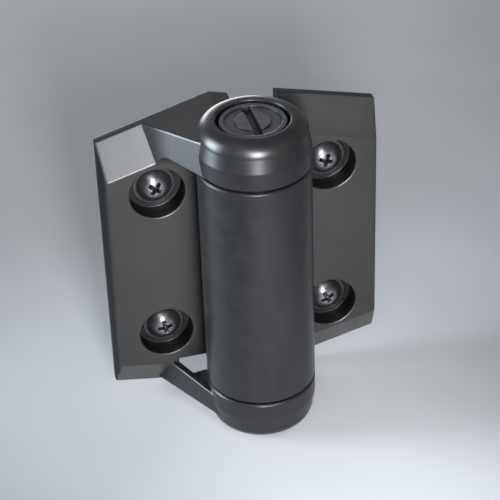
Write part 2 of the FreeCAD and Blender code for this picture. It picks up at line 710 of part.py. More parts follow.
def make_tension_dial():
    """The slotted dial: a bevelled head, a stem with lugs and a square end for the arbor."""
    body = new_body("tension_dial")
    ring_floor = "dial_top - dial_ring_depth"
    points = [
        ("0", "lug_foot"),
        ("stem_radius", "lug_foot"),
        ("stem_radius", "head_foot"),
        ("dial_radius", "head_foot"),
        ("dial_radius", "dial_top - dial_bevel"),
        ("dial_radius - dial_bevel", "dial_top"),
        ("dial_ring_outer", "dial_top"),
        ("dial_ring_outer", ring_floor),
        ("dial_ring_inner", ring_floor),
        ("dial_ring_inner", "dial_top"),
        ("0", "dial_top"),
    ]
    revolve(body, "turned", points)
    half = "(notch_width / 2 - lug_play)"
    lug = rectangle("stem_radius / 2", "notch_bore + notch_depth - lug_play", f"-{half}", half)
    first = extrude(body, "lug", "XY_Plane", "lug_foot", lug, "lug_height")
    repeat(body, first, "lug_count", True)
    side = "stem_square / 2"
    square = rectangle(f"-{side}", side, f"-{side}", side)
    extrude(body, "square", "XY_Plane", "stem_foot", square, "lug_foot - stem_foot")
    slot_half = "dial_slot_width / 2"
    slot_end = "(dial_radius - dial_slot_border)"
    slot = rectangle(f"-{slot_half}", slot_half, f"-{slot_end}", slot_end)
    extrude(body, "slot", "XY_Plane", "dial_top", slot, "dial_slot_depth", False)
    return body


def make_dial_retaining_clip():
    """The open ring that keeps the dial's lugs below it."""
    body = new_body("dial_retaining_clip")
    inner = "(stem_radius + notch_bore) / 2"
    outer = "recess_radius + clip_bite - recess_play"
    points = rectangle(inner, outer, "flange_top", "clip_top")
    revolve(body, "turned", points)
    half = "clip_gap / 2"
    opening = rectangle("0", f"{outer} + clip_bite", f"-{half}", half)
    extrude(body, "opening", "XY_Plane", "clip_top", opening, "clip_thickness", False)
    return body


def make_spring_arbor():
    """The arbor: a journal in the sleeve, a flange that holds the spring and a mandrel inside it."""
    body = new_body("spring_arbor")
    foot = "anchor_top + mandrel_gap"
    points = [
        ("0", foot),
        ("mandrel_radius", foot),
        ("mandrel_radius", "arbor_flange_foot"),
        ("arbor_flange_radius", "arbor_flange_foot"),
        ("arbor_flange_radius", "arbor_flange_top"),
        ("journal_radius", "arbor_flange_top"),
        ("journal_radius", "arbor_top"),
        ("0", "arbor_top"),
    ]
    revolve(body, "turned", points)
    side = "(stem_square / 2 + square_play)"
    square = rectangle(f"-{side}", side, f"-{side}", side)
    extrude(body, "socket", "XY_Plane", "arbor_top", square, "arbor_top - socket_floor", False)
    bore = {"circles": [("0", "0", "return_radius + return_wire / 2 + return_play")]}
    extrude(body, "return_bore", "XY_Plane", "arbor_top", bore, "arbor_top - return_foot", False)
    extrude(body, "tang_hole", "XY_Plane", "arbor_flange_foot", tang("tang_play"), "tang_hole", False, True)
    return body


def make_arbor_thrust_washer():
    """The washer that carries the arbor's flange against the end of the sleeve."""
    body = new_body("arbor_thrust_washer")
    points = rectangle("sleeve_bore", "arbor_flange_radius", "arbor_flange_top", "washer_top")
    revolve(body, "turned", points)
    return body


def tang(play):
    """Plan of an end of the torsion spring, or of its hole."""
    half = f"(spring_wire / 2 + {play})"
    return rectangle(f"spring_radius - {half}", f"spring_radius + {half}", f"-{half}", half)


def make_torsion_spring():
    """The closing spring: a square-wire coil with a straight tang at each end."""
    body = new_body("torsion_spring")
    coil(body, "coil", "spring_radius", "spring_wire", "coil_foot", "coil_top", "spring_pitch")
    length = "spring_wire + coil_gap + tang_depth"
    extrude(body, "upper_tang", "XY_Plane", "coil_top - spring_wire", tang("0"), length)
    extrude(body, "lower_tang", "XY_Plane", "coil_foot + spring_wire", tang("0"), length, True, True)
    return body


def make_spring_anchor():
    """The anchor: a plug keyed in the barrel that holds the spring's lower end."""
    body = new_body("spring_anchor")
    points = rectangle("0", "seat_radius", "anchor_foot", "anchor_top")
    revolve(body, "turned", points)
    key_end = "(bore_radius + key_reach)"
    half = "key_width / 2"
    keys = rectangle(f"-{key_end}", key_end, f"-{half}", half)
    extrude(body, "keys", "XY_Plane", "anchor_foot", keys, "anchor_height")
    pin_hole = {"circles": [("0", "0", "pin_radius + pin_play")]}
    depth = "pin_top - anchor_foot + pin_play"
    extrude(body, "pin_hole", "XY_Plane", "anchor_foot", pin_hole, depth, False, True)
    extrude(body, "tang_hole", "XY_Plane", "anchor_top", tang("tang_play"), "tang_hole", False)
    return body


def make_dial_return_spring():
    """The coil under the dial's square stem."""
    body = new_body("dial_return_spring")
    foot = "(return_foot + face_gap)"
    top = "(stem_foot - face_gap)"
    coil(body, "coil", "return_radius", "return_wire", foot, top, "return_pitch")
    return body


def make_lower_pivot_pin():
    """The headed pin that the lower knuckle turns on."""
    body = new_body("lower_pivot_pin")
    points = [
        ("0", "cap_top"),
        ("pin_head_radius", "cap_top"),
        ("pin_head_radius", "pin_seat"),
        ("pin_radius", "pin_seat"),
        ("pin_radius", "pin_top - edge_break"),
        ("pin_radius - edge_break", "pin_top"),
        ("0", "pin_top"),
    ]
    revolve(body, "turned", points)
    return body


def make_lower_knuckle_cap():
    """The plug that closes the lower knuckle under the pin."""
    body = new_body("lower_knuckle_cap")
    points = [
        ("0", "-knuckle_top"),
        ("pin_head_radius - edge_break", "-knuckle_top"),
        ("pin_head_radius", "-knuckle_top + edge_break"),
        ("pin_head_radius", "cap_top"),
        ("0", "cap_top"),
    ]
    revolve(body, "turned", points)
    return body


def cross_outline():
    """Plan of a cross recess."""
    end, half = "drive_length / 2", "drive_width / 2"
    return [
        (end, f"-{half}"), (end, half), (half, half), (half, end),
        (f"-{half}", end), (f"-{half}", half), (f"-{end}", half), (f"-{end}", f"-{half}"),
        (f"-{half}", f"-{half}"), (f"-{half}", f"-{end}"), (half, f"-{end}"), (half, f"-{half}"),
    ]


def make_screw(label, side, end):
    """A flanged pan-head screw with a drill point; its own Z runs from its head into the wall."""
    body = doc.addObject("PartDesign::Body", label)
    body.Label = label
    seat = "-seat_thickness"
    flange_top = f"({seat} - flange_height)"
    head_top = f"({flange_top} - head_height)"
    tip_start = "(thread_length + (thread_radius - tip_radius))"
    points = [
        ("0", head_top, "dome_radius"),
        ("head_radius", f"{flange_top} - head_edge"),
        ("head_radius", flange_top),
        ("flange_radius", flange_top),
        ("flange_radius", seat),
        ("neck_radius", seat),
        ("neck_radius", "0"),
        ("thread_radius", "0"),
        ("thread_radius", "thread_length"),
        ("tip_radius", tip_start),
        ("tip_radius", f"{tip_start} + tip_length - tip_radius"),
        ("0", f"{tip_start} + tip_length"),
    ]
    revolve(body, "turned", points)
    extrude(body, "drive", "XY_Plane", head_top, cross_outline(), "drive_depth", False, True)
    turn = FreeCAD.Rotation(FreeCAD.Vector(1, 0, 0), -90)
    body.Placement = FreeCAD.Placement(FreeCAD.Vector(), turn)
    body.setExpression("Placement.Base.x", bound(f"({side} - 1) * screw_across"))
    body.setExpression("Placement.Base.z", bound(f"{end} * screw_rise"))
    return body


def make_screw_pair(label, side):
    """A leaf's two screws, as one group."""
    pair = doc.addObject("Part::Compound", label)
    pair.Label = label
    pair.Links = [make_screw(f"{label}_{name}", side, end) for name, end in (("top", 1), ("bottom", -1))]
    return pair


pieces = [
    make_post_leaf(),
    make_gate_leaf(),
    make_bush("upper_pivot_bush", 1, "sleeve_radius + running_fit", "upper_bush_length"),
    make_bush("lower_pivot_bush", -1, "pin_radius + running_fit", "lower_bush_length"),
    make_upper_pivot_sleeve(),
    make_lower_pivot_pin(),
    make_torsion_spring(),
    make_spring_arbor(),
    make_arbor_thrust_washer(),
    make_spring_anchor(),
    make_tension_dial(),
    make_dial_return_spring(),
    make_dial_retaining_clip(),
    make_lower_knuckle_cap(),
    make_screw_pair("post_leaf_screws", 1),
    make_screw_pair("gate_leaf_screws", -1),
]

doc.recompute()
for item in doc.Objects:
    if "Invalid" in item.State or "Error" in item.State:
        raise RuntimeError(f"{item.Label} failed: {item.State}")
for piece in pieces:
    if piece.Shape.isNull() or not piece.Shape.isValid():
        raise RuntimeError(f"{piece.Label} has no valid shape")

os.makedirs("parts", exist_ok=True)
for piece in pieces:
    piece.Shape.exportStep(f"parts/{piece.Label}.step")
    box = piece.Shape.BoundBox
    print(piece.Label, f"{piece.Shape.Volume:.1f} mm3", len(piece.Shape.Solids), "solids",
          f"{box.XLength:.1f} x {box.YLength:.1f} x {box.ZLength:.1f}")
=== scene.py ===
# %% [markdown]
# A self-closing gate hinge
#
# The hinge is a moulded black polymer part: a gate leaf on the left, a post leaf on the right, and a
# barrel between them that hides the closing spring. The solids already have their true shape, so
# this lesson dresses them: finishes, screw threads, spring pieces, light and a camera. We first load
# the solids and keep their box, because nothing that we add may make the hinge larger.

# %% Load the solids
import json
import math

import bmesh
import bpy
from mathutils import Matrix, Vector


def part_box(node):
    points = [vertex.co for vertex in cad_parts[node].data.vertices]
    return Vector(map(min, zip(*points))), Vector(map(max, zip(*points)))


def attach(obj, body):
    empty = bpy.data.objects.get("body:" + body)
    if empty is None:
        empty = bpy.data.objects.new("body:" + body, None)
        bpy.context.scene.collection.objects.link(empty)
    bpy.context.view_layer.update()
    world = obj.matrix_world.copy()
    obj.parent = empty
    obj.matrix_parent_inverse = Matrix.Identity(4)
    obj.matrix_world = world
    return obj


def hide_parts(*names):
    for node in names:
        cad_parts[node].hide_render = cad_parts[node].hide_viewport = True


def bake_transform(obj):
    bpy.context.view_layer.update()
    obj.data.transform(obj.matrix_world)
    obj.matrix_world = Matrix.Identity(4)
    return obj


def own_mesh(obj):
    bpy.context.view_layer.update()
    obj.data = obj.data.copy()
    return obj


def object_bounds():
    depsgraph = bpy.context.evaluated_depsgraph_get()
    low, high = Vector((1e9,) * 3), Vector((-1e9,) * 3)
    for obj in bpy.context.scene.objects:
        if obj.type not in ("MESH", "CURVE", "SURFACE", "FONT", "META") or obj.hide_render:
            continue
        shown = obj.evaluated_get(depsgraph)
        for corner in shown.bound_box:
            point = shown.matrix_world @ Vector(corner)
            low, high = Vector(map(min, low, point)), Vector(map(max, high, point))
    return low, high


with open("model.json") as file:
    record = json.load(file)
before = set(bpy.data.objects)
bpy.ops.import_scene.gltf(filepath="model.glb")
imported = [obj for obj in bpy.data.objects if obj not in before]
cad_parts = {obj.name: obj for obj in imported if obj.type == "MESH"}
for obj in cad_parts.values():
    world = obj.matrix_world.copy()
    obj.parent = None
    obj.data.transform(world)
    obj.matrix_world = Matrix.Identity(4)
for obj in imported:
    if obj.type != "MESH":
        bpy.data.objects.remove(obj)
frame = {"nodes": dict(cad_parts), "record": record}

solid_box = [list(corner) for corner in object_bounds()]
print("solids:", sorted(frame["nodes"]))

# %% [markdown]
# The picture is taken from above and a little to the left, close to the hinge, so the barrel looks
# slightly narrower at its foot. A camera needs a place, a direction and a roll. We could turn it with
# a Track To constraint, but a small matrix keeps the roll exact: its three columns are the camera's
# right, up and backward directions. A long lens then fills the frame with the hinge.

# %% Camera
MM = 0.001
CAMERA_PLACE = Vector((-118.6, -402.3, 280.6)) * MM
AIM_POINT = Vector((-22.6, -9.0, 0.5)) * MM
CAMERA_ROLL = math.radians(-2.05)
LENS, SENSOR = 132.0, 36.0
NEAREST = 10.0 * MM


def turned_to(place, aim, roll):
    """A rotation that looks from a place to a point, rolled about the line of sight."""
    forward = (aim - place).normalized()
    right = forward.cross(Vector((0, 0, 1))).normalized()
    up = right.cross(forward)
    rolled_right = right * math.cos(roll) + up * math.sin(roll)
    rolled_up = up * math.cos(roll) - right * math.sin(roll)
    return Matrix((rolled_right, rolled_up, -forward)).transposed().to_4x4()


lens = bpy.data.cameras.new("photo_camera")
lens.lens = LENS
lens.sensor_width = SENSOR
lens.clip_start = NEAREST
camera = bpy.data.objects.new("photo_camera", lens)
camera.matrix_world = Matrix.Translation(CAMERA_PLACE) @ turned_to(CAMERA_PLACE, AIM_POINT, CAMERA_ROLL)
bpy.context.scene.collection.objects.link(camera)
bpy.context.scene.camera = camera
print("camera", round((AIM_POINT - CAMERA_PLACE).length, 3), "m from the hinge")

# %% [markdown]
# Light makes black plastic readable: its own colour hardly changes, so the eye reads where it reflects
# something bright. A soft box beside the camera shows the gate leaf's upper bevel, which faces the
# camera squarely. A bluish strip on the left lights the arm and draws the left band on the barrel, and
# a narrower strip in front draws the patch on the crown. An upright barrel seen from above mirrors the
# floor, so a small box that brightens the floor in front draws the barrel's right band. A low box behind
# keeps the backs of the leaves readable. The narrow spreads act like a honeycomb on a lamp: they keep
# the strips from burning out the floor. The world fills the shadows.

# %% Light
bpy.context.scene.view_settings.view_transform = "Standard"
AXIS_MIDDLE = Vector((-23.25, -19.5, 1.0)) * MM
CROWN = Vector((-23.25, -19.5, 44.0)) * MM
FLOOR_POOL = Vector((4.0, -100.0, -46.0)) * MM
OPEN_SKY, SKY, HAZE = (0.77, 0.90, 1.0), (0.86, 0.94, 1.0), (0.96, 0.97, 1.0)
ROOM_COLOUR, ROOM_STRENGTH = (0.80, 0.83, 0.88, 1.0), 0.36
LAMPS = [  # name, place, aim, width, height, brightness, tint, spread
    ("camera_box", (-0.235, -0.615, 0.440), AXIS_MIDDLE, 0.26, 0.26, 8.0, SKY, 180.0),
    ("left_strip", (-0.230, 0.025, 0.070), CROWN, 0.10, 0.24, 3.9, OPEN_SKY, 60.0),
    ("front_strip", (-0.055, -0.268, 0.090), CROWN, 0.060, 0.20, 6.2, HAZE, 45.0),
    ("back_box", (-0.020, 0.620, 0.060), AXIS_MIDDLE, 0.34, 0.24, 7.0, HAZE, 180.0),
    ("floor_box", (0.030, -0.230, 0.110), FLOOR_POOL, 0.06, 0.06, 3.4, HAZE, 40.0),
]


def soft_box(name, place, aim, width, height, brightness, tint, spread):
    """A rectangular lamp at a place, turned to a point, with a given brightness of its face."""
    lamp = bpy.data.lights.new(name, "AREA")
    lamp.shape = "RECTANGLE"
    lamp.size = width
    lamp.size_y = height
    lamp.energy = brightness * math.pi * width * height
    lamp.color = tint
    lamp.spread = math.radians(spread)
    holder = bpy.data.objects.new(name, lamp)
    holder.matrix_world = Matrix.Translation(place) @ turned_to(Vector(place), aim, 0.0)
    bpy.context.scene.collection.objects.link(holder)
    print(name, round(lamp.energy, 2), "W")


for lamp_row in LAMPS:
    soft_box(*lamp_row)
world = bpy.data.worlds.new("room")
bpy.context.scene.world = world
world.use_nodes = True
room = world.node_tree.nodes["Background"]
room.inputs["Color"].default_value = ROOM_COLOUR
room.inputs["Strength"].default_value = ROOM_STRENGTH

# %% [markdown]
# A finish is a small graph of nodes. Every finish here starts from the same few parts, so we write each
# part once as a helper. The first ones say where a point lies on the piece and give noise whose grain is
# a real size in metres. Object coordinates are used, because they stay with the piece when it turns.

# %% Nodes for place and grain
def new_finish(name):
    """An empty finish with its shader, ready for more nodes."""
    finish = bpy.data.materials.new(name)
    finish.use_nodes = True
    shader = finish.node_tree.nodes["Principled BSDF"]
    return finish, finish.node_tree, shader


def object_place(tree):
    """Coordinates fixed to the piece, in metres."""
    return tree.nodes.new("ShaderNodeTexCoord").outputs["Object"]


def object_normal(tree):
    """The direction that the surface faces, fixed to the piece."""
    return tree.nodes.new("ShaderNodeTexCoord").outputs["Normal"]


def share_along(tree, vector, axis, zero_at, one_at):
    """A smooth share from 0 to 1 as one part of a place or a direction grows."""
    parts = tree.nodes.new("ShaderNodeSeparateXYZ")
    tree.links.new(vector, parts.inputs["Vector"])
    share = tree.nodes.new("ShaderNodeMapRange")
    share.interpolation_type = "SMOOTHSTEP"
    share.inputs["From Min"].default_value = zero_at
    share.inputs["From Max"].default_value = one_at
    tree.links.new(parts.outputs[axis], share.inputs["Value"])
    return share.outputs["Result"]


def noise(tree, place, grain, detail, stretch=(1.0, 1.0, 1.0)):
    """Noise whose blobs are about as large as the grain, in metres."""
    mapping = tree.nodes.new("ShaderNodeMapping")
    mapping.inputs["Scale"].default_value = [side / grain for side in stretch]
    tree.links.new(place, mapping.inputs["Vector"])
    texture = tree.nodes.new("ShaderNodeTexNoise")
    texture.inputs["Scale"].default_value = 1.0
    texture.inputs["Detail"].default_value = detail
    tree.links.new(mapping.outputs["Vector"], texture.inputs["Vector"])
    return texture.outputs["Fac"]


print("place and grain ready")

# %% [markdown]
# The next helpers turn a value into a colour or a level, and blend two of them. A colour ramp is easier
# to read than a chain of sums: each stop says which value of the noise gets which colour.

# %% Nodes for colour
def ramp(tree, value, stops):
    """Turn a value into colours; each stop is a position and a grey or a colour."""
    node = tree.nodes.new("ShaderNodeValToRGB")
    elements = node.color_ramp.elements
    while len(elements) < len(stops):
        elements.new(0.5)
    for element, (position, colour) in zip(elements, stops):
        element.position = position
        grey = (colour,) * 3 if isinstance(colour, float) else colour
        element.color = (*grey, 1.0)
    tree.links.new(value, node.inputs["Fac"])
    return node.outputs["Color"]


def mix(tree, share, low, high):
    """Blend two colours by a share that is a socket."""
    node = tree.nodes.new("ShaderNodeMix")
    node.data_type = "RGBA"
    tree.links.new(share, node.inputs["Factor"])
    for socket, colour in ((node.inputs[6], low), (node.inputs[7], high)):
        if isinstance(colour, tuple):
            socket.default_value = (*colour, 1.0)
        else:
            tree.links.new(colour, socket)
    return node.outputs[2]


print("colour ready")

# %% [markdown]
# The last helpers are for relief, wear and painted shade. A Bevel node rounds the sharp edges of a solid in
# the shading only, which is enough for an edge a few tenths of a millimetre wide. Ambient occlusion finds
# where wear
# and painted shade belong: looking inwards it finds edges that get rubbed, and outwards the corners and
# bores, which get a painted shade.

# %% Nodes for relief, wear and painted shade
WEAR_AND_SHADE_SAMPLES, EDGE_SAMPLES = 8, 6


def bump(tree, height, strength, depth, normal=None):
    """A normal that makes a height read as relief of the given depth, in metres."""
    node = tree.nodes.new("ShaderNodeBump")
    node.inputs["Strength"].default_value = strength
    node.inputs["Distance"].default_value = depth
    tree.links.new(height, node.inputs["Height"])
    if normal:
        tree.links.new(normal, node.inputs["Normal"])
    return node.outputs["Normal"]


def soft_edges(tree, radius):
    """A normal that rounds the piece's sharp edges by a radius, in metres."""
    node = tree.nodes.new("ShaderNodeBevel")
    node.samples = EDGE_SAMPLES
    node.inputs["Radius"].default_value = radius
    return node.outputs["Normal"]


def edge_wear(tree, reach):
    """White on outward edges and corners, black on flat surfaces."""
    node = tree.nodes.new("ShaderNodeAmbientOcclusion")
    node.inside = True
    node.only_local = True
    node.samples = WEAR_AND_SHADE_SAMPLES
    node.inputs["Distance"].default_value = reach
    flipped = tree.nodes.new("ShaderNodeInvert")
    tree.links.new(node.outputs["Color"], flipped.inputs["Color"])
    return flipped.outputs["Color"]


def shelter(tree, reach):
    """White on open surfaces, dark in corners and bores within a reach, in metres."""
    node = tree.nodes.new("ShaderNodeAmbientOcclusion")
    node.samples = WEAR_AND_SHADE_SAMPLES
    node.inputs["Distance"].default_value = reach
    return node.outputs["Color"]


print("relief and wear ready")

# %% [markdown]
# The leaves are glass-filled polymer, moulded in a finely textured tool. The barrel and the knuckles are
# handled, so they are clean and nearly black, with a faint mottle from the glass fibres. The front and back
# faces of the plates have a thin warm film of dust. Their side, top and bottom faces, and the sheltered
# corners and bores, get a painted shade, and the outer edges are rubbed a little paler. The gloss is satin,
# too broad to show a lamp's outline, and it is dull on the side walls of the plates, where nothing rubs. One
# finish does all this, because it asks where a point lies from front to back and which way it faces.

# %% Leaf polymer
CLEAN_FROM, DUSTY_FROM = -13.0 * MM, -5.0 * MM
CLEAN_DARK, CLEAN_PALE = (0.0055, 0.0055, 0.0058), (0.0095, 0.0095, 0.0099)
DUST_DARK, DUST_PALE = (0.0218, 0.0209, 0.0197), (0.0275, 0.0263, 0.0248)
# This dark colour is painted shade: it goes on the plates' side, top and bottom faces and into corners, bores
# and screw recesses.
PAINTED_SHADE = (0.005, 0.005, 0.0052)
RUBBED_POLYMER = (0.060, 0.061, 0.063)
SATIN, DULL = 0.42, 0.02
EDGE_ROUND = 0.3 * MM


def make_leaf_polymer():
    """Clean polymer in front, a dust film on the plates, painted shade on their side walls and in corners,
    and rubbed edges.
    """
    finish, tree, shader = new_finish("leaf_polymer")
    place = object_place(tree)
    clean = ramp(tree, noise(tree, place, 3.5 * MM, 5.0), [(0.30, CLEAN_DARK), (0.70, CLEAN_PALE)])
    dust = ramp(tree, noise(tree, place, 6.0 * MM, 6.0), [(0.30, DUST_DARK), (0.70, DUST_PALE)])
    on_plates = share_along(tree, place, "Y", CLEAN_FROM, DUSTY_FROM)
    # The plates' faces that look sideways, up or down get painted shade instead of the dust film.
    faces_back = share_along(tree, object_normal(tree), "Y", -1.0, 1.0)
    flat_faces = ramp(tree, faces_back, [(0.13, 1.0), (0.25, 0.0), (0.75, 0.0), (0.87, 1.0)])
    clean_dust_and_wall_shade = mix(tree, on_plates, clean, mix(tree, flat_faces, PAINTED_SHADE, dust))
    # Painted shade in corners and bores, found by ambient occlusion.
    painted_hollow_shade = ramp(tree, shelter(tree, 8.0 * MM), [(0.30, 1.0), (0.80, 0.0)])
    rubbed = ramp(tree, edge_wear(tree, 0.6 * MM), [(0.30, 0.0), (0.80, 0.30)])
    colour = mix(tree, rubbed, mix(tree, painted_hollow_shade, clean_dust_and_wall_shade, PAINTED_SHADE), RUBBED_POLYMER)
    tree.links.new(colour, shader.inputs["Base Color"])
    roughness = ramp(tree, noise(tree, place, 5.0 * MM, 4.0), [(0.25, 0.29), (0.75, 0.35)])
    tree.links.new(roughness, shader.inputs["Roughness"])
    faces_right = share_along(tree, object_normal(tree), "X", -1.0, 1.0)
    wall_shine = ramp(tree, faces_right, [(0.05, DULL), (0.20, SATIN), (0.80, SATIN), (0.95, DULL)])
    shine = mix(tree, on_plates, (SATIN,) * 3, wall_shine)
    tree.links.new(shine, shader.inputs["Specular IOR Level"])
    tool_texture = noise(tree, place, 0.30 * MM, 2.0)
    relief = bump(tree, tool_texture, 0.30, 0.03 * MM, soft_edges(tree, EDGE_ROUND))
    tree.links.new(relief, shader.inputs["Normal"])
    return finish


leaf_polymer = make_leaf_polymer()
print("made", leaf_polymer.name)

# %% [markdown]
# The dial is a smoother moulding in the same dark polymer. Turning circles would be wrong on moulded
# plastic, so it only has a fine grain and the dull edge that a screwdriver leaves. Its slot and its sunk
# ring get a painted shade, so they are darker, and they hardly shine.

# %% Dial polymer
DIAL_DARK, DIAL_PALE = (0.030, 0.030, 0.031), (0.042, 0.042, 0.044)
# This dark colour is painted shade for the dial's slot and sunk ring.
SLOT_PAINTED_SHADE = (0.004, 0.004, 0.0042)
RUBBED_DIAL = (0.11, 0.11, 0.112)


def make_dial_polymer():
    """Smooth polymer with painted shade in its slot and sunk ring."""
    finish, tree, shader = new_finish("dial_polymer")
    place = object_place(tree)
    mottle = ramp(tree, noise(tree, place, 2.0 * MM, 4.0), [(0.30, DIAL_DARK), (0.70, DIAL_PALE)])
    rubbed = ramp(tree, edge_wear(tree, 0.5 * MM), [(0.30, 0.0), (0.80, 0.40)])
    # Painted shade in the slot and the sunk ring, found by ambient occlusion; the same value lowers their
    # shine.
    open_to_sky = shelter(tree, 2.0 * MM)
    painted_slot_shade = ramp(tree, open_to_sky, [(0.45, 1.0), (0.85, 0.0)])
    colour = mix(tree, rubbed, mix(tree, painted_slot_shade, mottle, SLOT_PAINTED_SHADE), RUBBED_DIAL)
    tree.links.new(colour, shader.inputs["Base Color"])
    shine = ramp(tree, open_to_sky, [(0.45, 0.08), (0.85, 0.50)])
    tree.links.new(shine, shader.inputs["Specular IOR Level"])
    roughness = ramp(tree, noise(tree, place, 3.0 * MM, 3.0), [(0.25, 0.24), (0.75, 0.33)])
    tree.links.new(roughness, shader.inputs["Roughness"])
    grain = noise(tree, place, 0.40 * MM, 2.0)
    relief = bump(tree, grain, 0.20, 0.02 * MM, soft_edges(tree, EDGE_ROUND))
    tree.links.new(relief, shader.inputs["Normal"])
    return finish


dial_polymer = make_dial_polymer()
print("made", dial_polymer.name)

# %% [markdown]
# The screws are steel with a glossy black coating. The coating pools softly, so its bump is low and
# wide. It is rubbed through to grey steel on sharp edges, and worn in patches round the cross recess,
# where the driver turned. The mesh itself will say where that is, in an attribute that the finish reads.

# %% Screw coating
DRIVER_WEAR = "driver_wear"
FILM_DARK, FILM_PALE = (0.007, 0.007, 0.0075), (0.013, 0.013, 0.014)
WORN_STEEL, EDGE_STEEL = (0.115, 0.115, 0.12), (0.20, 0.20, 0.205)
COAT, COAT_ROUGHNESS = 0.3, 0.20


def make_screw_coating():
    """Black coating, worn by the driver, with painted shade in its recess."""
    finish, tree, shader = new_finish("screw_coating")
    place = object_place(tree)
    film = ramp(tree, noise(tree, place, 1.5 * MM, 3.0), [(0.30, FILM_DARK), (0.70, FILM_PALE)])
    rubbed = ramp(tree, edge_wear(tree, 0.4 * MM), [(0.30, 0.0), (0.80, 0.40)])
    driver_wear = tree.nodes.new("ShaderNodeAttribute")
    driver_wear.attribute_name = DRIVER_WEAR
    patches = ramp(tree, noise(tree, place, 1.2 * MM, 5.0), [(0.25, 0.45), (0.65, 1.0)])
    patchy_wear = tree.nodes.new("ShaderNodeMath")
    patchy_wear.operation = "MULTIPLY"
    tree.links.new(driver_wear.outputs["Fac"], patchy_wear.inputs[0])
    tree.links.new(patches, patchy_wear.inputs[1])
    worn = mix(tree, patchy_wear.outputs["Value"], film, WORN_STEEL)
    # Painted shade in the cross recess, found by ambient occlusion.
    painted_hollow_shade = ramp(tree, shelter(tree, 1.5 * MM), [(0.35, 1.0), (0.75, 0.0)])
    colour = mix(tree, rubbed, mix(tree, painted_hollow_shade, worn, PAINTED_SHADE), EDGE_STEEL)
    tree.links.new(colour, shader.inputs["Base Color"])
    roughness = ramp(tree, noise(tree, place, 1.0 * MM, 3.0), [(0.25, 0.24), (0.75, 0.36)])
    tree.links.new(roughness, shader.inputs["Roughness"])
    pooling = noise(tree, place, 1.6 * MM, 2.0)
    relief = bump(tree, pooling, 0.15, 0.04 * MM, soft_edges(tree, EDGE_ROUND))
    tree.links.new(relief, shader.inputs["Normal"])
    shader.inputs["Coat Weight"].default_value = COAT
    shader.inputs["Coat Roughness"].default_value = COAT_ROUGHNESS
    return finish


screw_coating = make_screw_coating()
print("made", screw_coating.name)

# %% [markdown]
# Inside the barrel there are bearings of smooth black polymer, plainer mouldings, bright turned steel
# and oiled spring wire. They show only in the seams and when the hinge is taken apart, but each one
# still gets the grain of its own material. Two functions make all four, since only their colours,
# gloss and the direction of their lines differ.

# %% Inner finishes
def make_plain_moulding(name, dark, pale, rough):
    """Smooth polymer with a faint mottle."""
    finish, tree, shader = new_finish(name)
    place = object_place(tree)
    mottle = ramp(tree, noise(tree, place, 2.5 * MM, 4.0), [(0.3, dark), (0.7, pale)])
    tree.links.new(mottle, shader.inputs["Base Color"])
    gloss_noise = noise(tree, place, 4.0 * MM, 3.0)
    roughness = ramp(tree, gloss_noise, [(0.3, rough - 0.05), (0.7, rough + 0.05)])
    tree.links.new(roughness, shader.inputs["Roughness"])
    relief = bump(tree, noise(tree, place, 0.4 * MM, 2.0), 0.2, 0.02 * MM)
    tree.links.new(relief, shader.inputs["Normal"])
    return finish


def make_steel(name, dark, pale, rough, stretch):
    """Steel whose fine lines run one way: the noise is squeezed across them."""
    finish, tree, shader = new_finish(name)
    lines = noise(tree, object_place(tree), 1.0 * MM, 4.0, stretch)
    tree.links.new(ramp(tree, lines, [(0.3, dark), (0.7, pale)]), shader.inputs["Base Color"])
    roughness = ramp(tree, lines, [(0.3, rough - 0.06), (0.7, rough + 0.06)])
    tree.links.new(roughness, shader.inputs["Roughness"])
    tree.links.new(bump(tree, lines, 0.15, 0.02 * MM), shader.inputs["Normal"])
    shader.inputs["Metallic"].default_value = 1.0
    return finish


bearing_polymer = make_plain_moulding(
    "bearing_polymer", (0.018, 0.018, 0.018), (0.028, 0.028, 0.028), 0.35)
inner_polymer = make_plain_moulding(
    "inner_polymer", (0.045, 0.045, 0.046), (0.065, 0.065, 0.066), 0.50)
pin_steel = make_steel("pin_steel", (0.50, 0.50, 0.51), (0.62, 0.62, 0.63), 0.28, (0.3, 0.3, 5.0))
spring_steel = make_steel("spring_steel", (0.26, 0.26, 0.27), (0.40, 0.40, 0.41), 0.36, (2.0, 2.0, 2.0))
print("made", [finish.name for finish in (bearing_polymer, inner_polymer, pin_steel, spring_steel)])

# %% [markdown]
# The solids stay where they are; only their finish changes. A table of slot and finish does it in one
# loop, because every solid's record says which slot it belongs to.

# %% Finishes on the solids
FINISHES = {
    "leaf_polymer": leaf_polymer,
    "dial_polymer": dial_polymer,
    "screw_steel": screw_coating,
    "bearing_polymer": bearing_polymer,
    "inner_polymer": inner_polymer,
    "pin_steel": pin_steel,
    "spring_steel": spring_steel,
}
for part in frame["record"]["subparts"]:
    solid = frame["nodes"][part["node"]]
    solid.data.materials.clear()
    solid.data.materials.append(FINISHES[part["material_slot"]])

# %% [markdown]
# The screws are self-drilling. Their solids stop at plain cylinders, so here each one gets its real
# thread, a tapered cross recess and softened rims. A screw is one surface of revolution, except that the
# thread's radius also depends on the angle: going once round moves the ridge by one pitch. So we list
# rings from the head to the tip, and let a function give the radius of the thread's rings, instead of
# sweeping a helix and joining it to a shank. Heights run along the screw, from its head into the wall.

